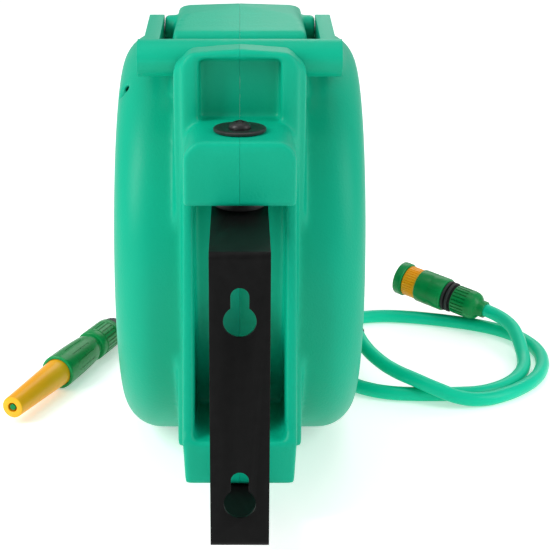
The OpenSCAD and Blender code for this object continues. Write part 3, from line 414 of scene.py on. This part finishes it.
# a moulding with real radii: its joint face is pulled past the middle, the copy is skinned again finely,
# relaxed and thinned, and the pulled part is cut off so that the two halves meet in one flat joint
def softMoulding(nodeName, name, finish, body, skin):
    piece = copyOf(nodeName)
    for vertex in piece.data.vertices:
        if abs(vertex.co.x) < skin["joint"] * mm:
            vertex.co.x = -skin["side"] * skin["overrun"] * mm
    applyModifier(piece, "REMESH", {"mode": "VOXEL", "voxel_size": skin["voxel"] * mm, "adaptivity": 0})
    applyModifier(piece, "SMOOTH", {"factor": 0.5, "iterations": skin["relax"]})
    applyModifier(piece, "DECIMATE", {"decimate_type": "COLLAPSE", "ratio": skin["keep"]})
    useOnly(piece)
    bpy.ops.object.mode_set(mode="EDIT")
    bpy.ops.mesh.select_all(action="SELECT")
    middle = (skin["side"] * skin["gap"] * mm, 0, 0)
    outwards = (-skin["side"], 0, 0)
    bpy.ops.mesh.bisect(plane_co=middle, plane_no=outwards, use_fill=True, clear_outer=True)
    # the joint closes behind a fine groove
    bpy.ops.mesh.inset(thickness=skin["lip"] * mm, depth=skin["rise"] * mm)
    bpy.ops.object.mode_set(mode="OBJECT")
    finishPiece(piece, name, finish, body, [nodeName])
    smoothShade(piece, skin["angle"])
    print(name, len(piece.data.polygons), "faces")
    return piece


# a pressed or turned part: flat faces joined again, and its sharp edges broken
def brokenEdges(nodeName, name, finish, body, width, steps):
    piece = copyOf(nodeName)
    bpy.ops.object.mode_set(mode="EDIT")
    bpy.ops.mesh.select_all(action="SELECT")
    bpy.ops.mesh.dissolve_limited(angle_limit=math.radians(making["flat"]))
    bpy.ops.object.mode_set(mode="OBJECT")
    edge = {
        "width": width * mm, "segments": steps, "limit_method": "ANGLE",
        "angle_limit": math.radians(making["sharp"]), "use_clamp_overlap": True, "miter_outer": "MITER_ARC",
    }
    applyModifier(piece, "BEVEL", edge)
    finishPiece(piece, name, finish, body, [nodeName])
    smoothShade(piece)
    return piece


# a turned part: a disc pulled along its axis, ring by ring; rings are (distance, radius) in mm
def turned(rings, sides):
    startFresh()
    firstAt, firstRadius = rings[0]
    bpy.ops.mesh.primitive_circle_add(vertices=sides, radius=firstRadius * mm, fill_type="NGON")
    piece = bpy.context.object
    bpy.ops.object.mode_set(mode="EDIT")
    bpy.ops.mesh.select_all(action="SELECT")
    bpy.ops.transform.translate(value=(0, 0, firstAt * mm))
    at, radius = firstAt, firstRadius
    for nextAt, nextRadius in rings[1:]:
        bpy.ops.mesh.extrude_region_move(TRANSFORM_OT_translate={"value": (0, 0, (nextAt - at) * mm)})
        share = nextRadius / radius
        bpy.ops.transform.resize(value=(share, share, 1), center_override=(0, 0, nextAt * mm))
        at, radius = nextAt, nextRadius
    bpy.ops.mesh.select_all(action="SELECT")
    bpy.ops.mesh.normals_make_consistent(inside=False)
    bpy.ops.object.mode_set(mode="OBJECT")
    return piece


# grip ribs: every few side faces between two distances along the axis are inset and pushed out or in
def rib(piece, fromAt, toAt, height, margin, every):
    useOnly(piece)
    bpy.ops.object.mode_set(mode="EDIT")
    bpy.ops.mesh.select_mode(type="FACE")
    bpy.ops.mesh.select_all(action="DESELECT")
    bpy.ops.object.mode_set(mode="OBJECT")
    sides = []
    for face in piece.data.polygons:
        centre = face.center
        if abs(face.normal.z) < 0.5 and fromAt * mm < centre.z < toAt * mm:
            sides.append((round(math.atan2(centre.y, centre.x), 4), face.index))
    turns = sorted({angle for angle, index in sides})
    chosen = set(turns[::every])
    for angle, index in sides:
        piece.data.polygons[index].select = angle in chosen
    bpy.ops.object.mode_set(mode="EDIT")
    bpy.ops.mesh.inset(thickness=margin * mm, depth=height * mm, use_individual=True)
    bpy.ops.object.mode_set(mode="OBJECT")


def placeAlong(piece, start, end):
    useOnly(piece)
    direction = end - start
    piece.matrix_world = Matrix.Translation(start) @ direction.to_track_quat("Z", "Y").to_matrix().to_4x4()
    bpy.ops.object.transform_apply(location=True, rotation=True, scale=True)


# each part of a straight run is turned from its profile, ribbed if it has ribs, and laid from start to end
def turnedRun(run, parts):
    start = point(*run["start"])
    end = point(*run["end"])
    made = {}
    for name, profile, sides, finish, body, replaced in parts:
        piece = turned(run[profile], sides)
        if profile in run["ribs"]:
            rib(piece, **run["ribs"][profile])
        placeAlong(piece, start, end)
        finishPiece(piece, name, finish, body, [replaced])
        smoothShade(piece, run["angle"])
        made[name] = piece
    return made


# hoses
hoses = {
    "diameter": 13.5,
    "leadExit": (114, 408, -105),
    "leadLength": 1.049,
    "outletExit": (0, 512, -75.4),
    "outletLength": 0.293,
    "stepsAlong": 5,
    "stepsAround": 7,
}
low = -138.2  # centre of a hose that lies on the floor
leadRoute = [
    (114, 408, -105), (121, 388, -111), (132, 369, -116.5), (146, 352, -120.5), (163, 338, -123.5),
    (183, 328, -129), (205, 323, -135.5), (227, 326, low), (247, 336, low), (266, 352, low),
    (282, 372, low), (293, 395, low), (299, 420, low), (299.5, 445, low), (294, 468, low),
    (283, 489, low), (267, 506, low), (247, 519, low), (224, 529, low), (200, 537, low),
    (175, 543, low), (151, 545, low), (128, 540, low), (109, 529, low), (96, 512, low),
    (89, 491, low), (86, 468, low), (86, 445, low), (88, 422, low), (92, 400, low),
    (97, 380, low), (106, 363, low), (120, 350, low), (139, 341, low), (161, 337.5, low),
    (183, 337, low), (205, 338, low), (225, 341, low), (243, 350.5, low), (258, 365, low),
    (269, 382, low), (277, 402, low), (281, 422, -137), (281.5, 441, -132.6), (280.5, 459, -127.6),
    (278.5, 473.5, -124.2), (273.5, 487, -121.8), (266, 499, -119.9), (256, 509, -118),
]
outletRoute = [
    (0, 512, -75.4), (0, 530, -75.4), (0, 549, -76), (-4, 567, -79), (-13, 585, -86), (-28, 599, -96),
    (-48, 607, -108), (-69, 606, -119), (-88, 596, -129), (-101, 580, -135), (-108, 560, -138),
    (-112, 540, -137), (-116, 520, -133), (-121.5, 502, -129.5), (-128, 485, -128.2),
]


def layHose(name, route, replaced):
    startFresh()
    line = bpy.data.curves.new(name, "CURVE")
    line.dimensions = "3D"
    line.resolution_u = hoses["stepsAlong"]
    line.bevel_depth = hoses["diameter"] / 2 * mm
    line.bevel_resolution = hoses["stepsAround"]
    line.use_fill_caps = True
    spline = line.splines.new("BEZIER")
    spline.bezier_points.add(len(route) - 1)
    for knot, place in zip(spline.bezier_points, route):
        knot.co = point(*place)
        knot.handle_left_type = "AUTO"
        knot.handle_right_type = "AUTO"
    hose = bpy.data.objects.new(name, line)
    bpy.context.scene.collection.objects.link(hose)
    line.materials.append(materials["hosePvc"])
    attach(hose, "case")
    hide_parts(replaced)
    return hose


leadHose = layHose("leadHose", leadRoute, "lead_hose")
outletHose = layHose("outletHose", outletRoute, "outlet_hose")
print("hoses laid")

# the case
shellSkin = {
    "voxel": 1.9, "relax": 13, "keep": 0.45, "angle": 60, "joint": 0.3, "overrun": 9, "gap": 0.12,
    "lip": 0.5, "rise": 0.11,
}
softMoulding("left_shell", "leftShell", "casePlastic", "case", {**shellSkin, "side": -1})
softMoulding("right_shell", "rightShell", "casePlastic", "case", {**shellSkin, "side": 1})
print("case moulded")

# carrying handle
handleEdge = {"width": 1.1, "steps": 3}
brokenEdges("carry_handle", "carryHandle", "casePlastic", "handle", **handleEdge)
print("handle ready")

# wall strap
strapEdge = {"width": 0.45, "steps": 2}
brokenEdges("wall_bracket", "wallStrap", "strapPaint", "bracket", **strapEdge)
print("strap ready")

# upper pivot: washer and domed screw with a cross recess
pivot = {
    "at": (0, 116, 167.3),
    "washer": [
        (0, 7), (0, 18.4), (0.5, 19.3), (2.0, 19.5), (2.6, 19.0), (2.9, 17.5), (2.6, 12.5), (2.4, 9.5),
        (2.5, 8.6),
    ],
    "head": [(2.5, 3), (2.5, 8.0), (3.2, 8.25), (4.3, 7.9), (5.6, 6.9), (6.7, 5.2), (7.5, 3.0), (7.9, 1.0)],
    "recessWidth": 1.9,
    "recessLength": 8.6,
    "recessDepth": 2.4,
    "recessTurns": (45, 135),
    "washerSides": 64,
    "headSides": 48,
    "washerAngle": 45,
    "headAngle": 40,
}


def makePivotTop():
    base = point(*pivot["at"])
    up = base + point(0, 0, 10)
    washer = turned(pivot["washer"], pivot["washerSides"])
    placeAlong(washer, base, up)
    finishPiece(washer, "pivotWasher", "blackPlastic", "bracket", ["pivot_washer"])
    smoothShade(washer, pivot["washerAngle"])

    # the head sits on the screw's shank, which keeps its own node below the washer
    head = turned(pivot["head"], pivot["headSides"])
    placeAlong(head, base, up)
    top = max(ring[0] for ring in pivot["head"])
    for turn in pivot["recessTurns"]:
        startFresh()
        bpy.ops.mesh.primitive_cube_add(size=1, location=base + point(0, 0, top))
        cutter = bpy.context.object
        cutter.scale = point(pivot["recessLength"], pivot["recessWidth"], 2 * pivot["recessDepth"])
        cutter.rotation_euler = (0, 0, math.radians(turn))
        useOnly(cutter)
        bpy.ops.object.transform_apply(location=True, rotation=True, scale=True)
        applyModifier(head, "BOOLEAN", {"operation": "DIFFERENCE", "object": cutter, "solver": "EXACT"})
        bpy.data.objects.remove(cutter)
    finishPiece(head, "pivotScrewHead", "blackPlastic", "bracket")
    smoothShade(head, pivot["headAngle"])


makePivotTop()
print("pivot ready")

# nozzle
nozzle = {
    "start": (-205, 284, -128.2),
    "end": (-128, 485, -128.2),
    "angle": 42,
    "barrel": [
        (6, 4.4), (0.4, 4.4), (0, 4.8), (0, 9.3), (0.5, 9.9), (1.4, 10.05), (4, 10.15), (40, 11.4),
        (86, 13.2), (94, 13.3), (94, 6),
    ],
    "core": [(0.6, 1.2), (0.6, 2.2), (1.0, 2.7), (2, 2.8), (7, 2.8), (7, 1)],
    "grip": [
        (91, 13.45), (87.6, 13.45), (87, 14), (87, 15.6), (87.5, 16.25), (88.4, 16.4), (90, 16.45),
        (104, 16.3), (121, 15.9), (138, 15.2), (148, 14.6), (149.6, 14.2), (150.2, 13.2), (150.6, 12.5),
        (157.6, 12.5), (157.6, 6),
    ],
    "socket": [
        (158, 8), (158, 14.0), (158.6, 14.8), (160, 15.2), (166, 15.2), (166.4, 14.7), (168, 14.7),
        (168.4, 15.2), (190, 15.2), (190.4, 14.6), (192, 14.6), (192.4, 15.1), (198.6, 15.0), (199.6, 14.2),
        (199.8, 13), (199.8, 8),
    ],
    "nut": [
        (200, 7), (200, 12.8), (200.6, 13.4), (202, 13.4), (211, 11.9), (214.4, 10.8), (215, 10.2),
        (215, 7.5),
    ],
    "ribs": {
        "grip": {"fromAt": 104.5, "toAt": 137.5, "height": -0.45, "margin": 0.25, "every": 6},
        "socket": {"fromAt": 169, "toAt": 189, "height": -0.6, "margin": 0.3, "every": 3},
        "nut": {"fromAt": 202.5, "toAt": 210.5, "height": 0.35, "margin": 0.2, "every": 3},
    },
}
nozzleParts = turnedRun(nozzle, [
    ("nozzleBarrel", "barrel", 64, "fittingYellow", "barrel", "nozzle_barrel"),
    ("nozzleCore", "core", 32, "fittingGreen", "nozzle", "nozzle_stem"),
    ("nozzleGrip", "grip", 72, "fittingGreen", "nozzle", "nozzle_body"),
    ("nozzleSocket", "socket", 72, "fittingGreen", "case", "nozzle_connector"),
    ("nozzleHoseNut", "nut", 72, "blackPlastic", "case", "nozzle_nut"),
])
print("nozzle ready")

# tap connector on the lead
connector = {
    "start": (256, 509, -118),
    "end": (174, 573, -104),
    "angle": 42,
    "nut": [
        (0.3, 7.2), (0, 8.2), (0.5, 8.75), (6.2, 8.75), (7.0, 9.3), (8.2, 11.2), (10.2, 13.2), (13, 14.4),
        (16, 14.9), (18.4, 15.0), (19.5, 15.0), (34.6, 15.0), (35.6, 14.6), (36, 13.6), (36, 8),
    ],
    "rings": [
        (36.2, 8), (36.2, 12.6), (38.4, 12.6), (38.6, 15.3), (39.2, 15.8), (41.2, 15.8), (41.8, 15.3),
        (42, 12.8), (43.6, 12.8), (43.8, 15.3), (44.3, 15.8), (46.0, 15.8), (46.5, 15.3), (46.8, 12.6),
        (46.8, 8),
    ],
    "shell": [
        (47, 10), (47, 16.0), (47.5, 17.1), (48.6, 17.5), (62, 17.5), (63, 17.3), (64, 17.5), (77.8, 17.5),
        (78.7, 17.3), (79, 16.9), (79, 16.55), (75.5, 16.5), (75.5, 10),
    ],
    "adaptor": [
        (95.8, 13.5), (95.8, 17.0), (96.4, 17.7), (97.2, 17.8), (103.8, 17.8), (104.7, 17.4), (105, 16.6),
        (105, 13.8), (104.6, 13.3), (97.2, 13.2), (97.2, 8), (103, 6.5), (103, 4.6), (98.2, 4.4), (98.2, 1),
    ],
    "collar": [
        (79.4, 12), (79.4, 15.6), (79.9, 16.1), (80.8, 16.2), (94.2, 16.2), (95.0, 15.8), (95.4, 15.0),
        (95.4, 12),
    ],
    "ribs": {
        "nut": {"fromAt": 19.6, "toAt": 34.5, "height": -0.9, "margin": 0.28, "every": 3},
        "collar": {"fromAt": 81, "toAt": 94, "height": -0.55, "margin": 0.18, "every": 3},
    },
}
connectorParts = turnedRun(connector, [
    ("leadHoseNut", "nut", 72, "fittingGreen", "case", "connector_nut"),
    ("connectorRings", "rings", 72, "blackRubber", "case", "connector_seals"),
    ("connectorShell", "shell", 72, "fittingGreen", "case", "connector_body"),
    ("clickCollar", "collar", 108, "fittingYellow", "collar", "connector_collar"),
    ("tapAdaptor", "adaptor", 72, "fittingGreen", "adaptor", "tap_adaptor"),
])
print("connector ready")

# hose stop, with the groove where its two halves meet, and the mouth frame it rests on
stop = {
    "at": (0, 530, -75.4),
    "radius": 15.9,
    "hole": 6.9,
    "groove": 0.7,
    "grooveTop": 0.9,
    "grooveFloor": 0.6,
    "rings": 14,
    "sides": 56,
    "angle": 35,
}


def makeHoseStop():
    radius = stop["radius"]
    firstAngle = math.asin(stop["hole"] / radius)
    rings = []
    for i in range(stop["rings"] + 1):
        angle = firstAngle + (math.pi - 2 * firstAngle) * i / stop["rings"]
        rings.append((-radius * math.cos(angle), radius * math.sin(angle)))
    middle = len(rings) // 2
    top = stop["grooveTop"]
    floor = stop["grooveFloor"]
    inner = radius - stop["groove"]
    rings[middle:middle + 1] = [(-top, radius), (-floor, inner), (floor, inner), (top, radius)]
    piece = turned(rings, stop["sides"])
    centre = point(*stop["at"])
    placeAlong(piece, centre, centre + point(0, 10, 0))
    finishPiece(piece, "hoseStop", "blackRubber", "case", ["hose_stop"])
    smoothShade(piece, stop["angle"])
    return piece


hoseStop = makeHoseStop()
mouthEdge = {"width": 1.0, "steps": 2}
brokenEdges("mouth_frame", "mouthFrame", "blackPlastic", "case", **mouthEdge)
print("mouth ready")

# the rest of the CAD nodes keep their shape and take a finish
nodeFinishes = {
    "blackPlastic": ["upper_pivot_screw", "upper_swivel_bush", "lower_swivel_bush", "lead_relief"],
    "blackRubber": ["union_seals"],
    "zincSteel": [
        "upper_pivot_nut", "lower_pivot_pin", "shell_screws", "handle_pivot_pins", "axle", "ratchet_pawl",
        "pawl_pivot", "roller_pins",
    ],
    "bluedSpring": ["rewind_spring"],
    "innerPlastic": [
        "inlet_axle", "inlet_elbow", "lead_elbow", "drum_core", "drum_left_flange", "drum_right_flange",
        "feed_spigot", "ratchet_wheel", "spring_arbor", "spring_housing", "spring_cover", "roller_top",
        "roller_bottom", "roller_left", "roller_right",
    ],
    "hosePvc": ["inner_lead_hose", "wound_hose", "hose_run"],
}
for finish, names in nodeFinishes.items():
    for name in names:
        nodes[name].data.materials.clear()
        nodes[name].data.materials.append(materials[finish])
print("kept parts finished")

print("done")
